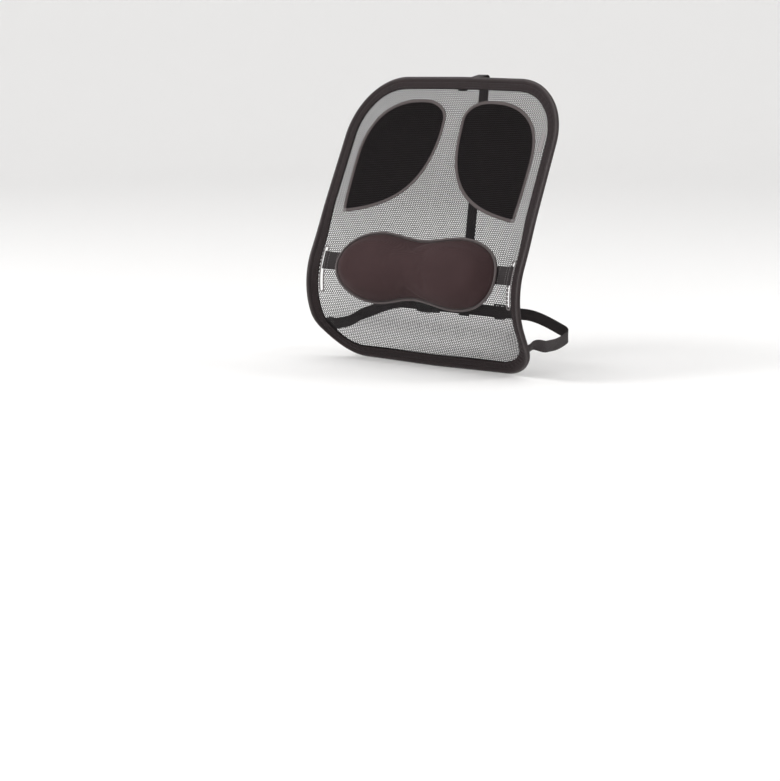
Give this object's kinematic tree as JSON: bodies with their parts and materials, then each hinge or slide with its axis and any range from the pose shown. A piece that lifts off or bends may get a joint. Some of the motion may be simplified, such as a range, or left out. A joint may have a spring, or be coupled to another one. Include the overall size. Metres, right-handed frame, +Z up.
{
  "type": "mesh lumbar back support",
  "caption": "Curved black mesh back support with a sliding padded lumbar cushion and straps that hold it to the backrest of a chair.",
  "frame": {"origin": "middle of the chair strap's inner face, where it bears on the back of the chair", "axes": "+Z up; +Y back, from the sitter to the chair; +X across, to the sitter's left"},
  "size_m": [0.4555, 0.2381, 0.497],
  "materials": {
    "wire": "black-coated spring wire, semi-gloss",
    "border": "smooth black knitted fabric, slightly shiny on the folded edge",
    "mesh": "open black diamond net",
    "wing": "fine black backing knit",
    "tape": "dark grey twill tape with stitched edges",
    "cushion": "brushed charcoal-brown knit",
    "cushion_back": "plain black woven lining",
    "foam": "open-cell cushion foam, cream",
    "piping": "grey twill over cord",
    "webbing": "charcoal ribbed webbing",
    "hook": "hook side of a touch fastener",
    "loop": "loop side of a touch fastener",
    "patch": "folded webbing, box stitched",
    "plastic": "black moulded plastic, satin",
    "tag": "blank grey woven label"
  },
  "bodies": {
    "support": {"frame_wire": "wire", "border_sleeve": "border", "mesh_panel": "mesh", "wing_panel_left": "wing", "wing_panel_right": "wing", "wing_tape_left": "tape", "wing_tape_right": "tape", "slit_binding_left": "tape", "slit_binding_right": "tape", "chair_strap_left": "webbing", "chair_strap_right": "webbing", "strap_anchor_patch_left": "patch", "strap_anchor_patch_right": "patch", "buckle_socket": "plastic", "buckle_plug": "plastic", "top_strap": "webbing", "top_anchor_patch": "patch", "woven_tag": "tag"},
    "lumbar_cushion": {"cushion_foam": "foam", "cushion_front_cover": "cushion", "cushion_back_cover": "cushion_back", "cushion_piping": "piping", "cushion_strap_left": "webbing", "cushion_strap_right": "webbing", "cushion_closure_hook": "hook", "cushion_closure_loop": "loop"},
    "strap_adjuster": {"strap_adjuster": "plastic"}
  },
  "joints": [
    {"name": "lumbar_cushion_ride", "type": "hinge", "parent": "support", "child": "lumbar_cushion", "pos_m": [0, -0.0356, 0.046], "axis": [1, 0, 0], "range_deg": [-1.8, 18]},
    {"name": "strap_adjuster_slide", "type": "slide", "parent": "support", "child": "strap_adjuster", "axis": [1, 0, 0], "range_m": [-0.04, 0.04]}
  ]
}
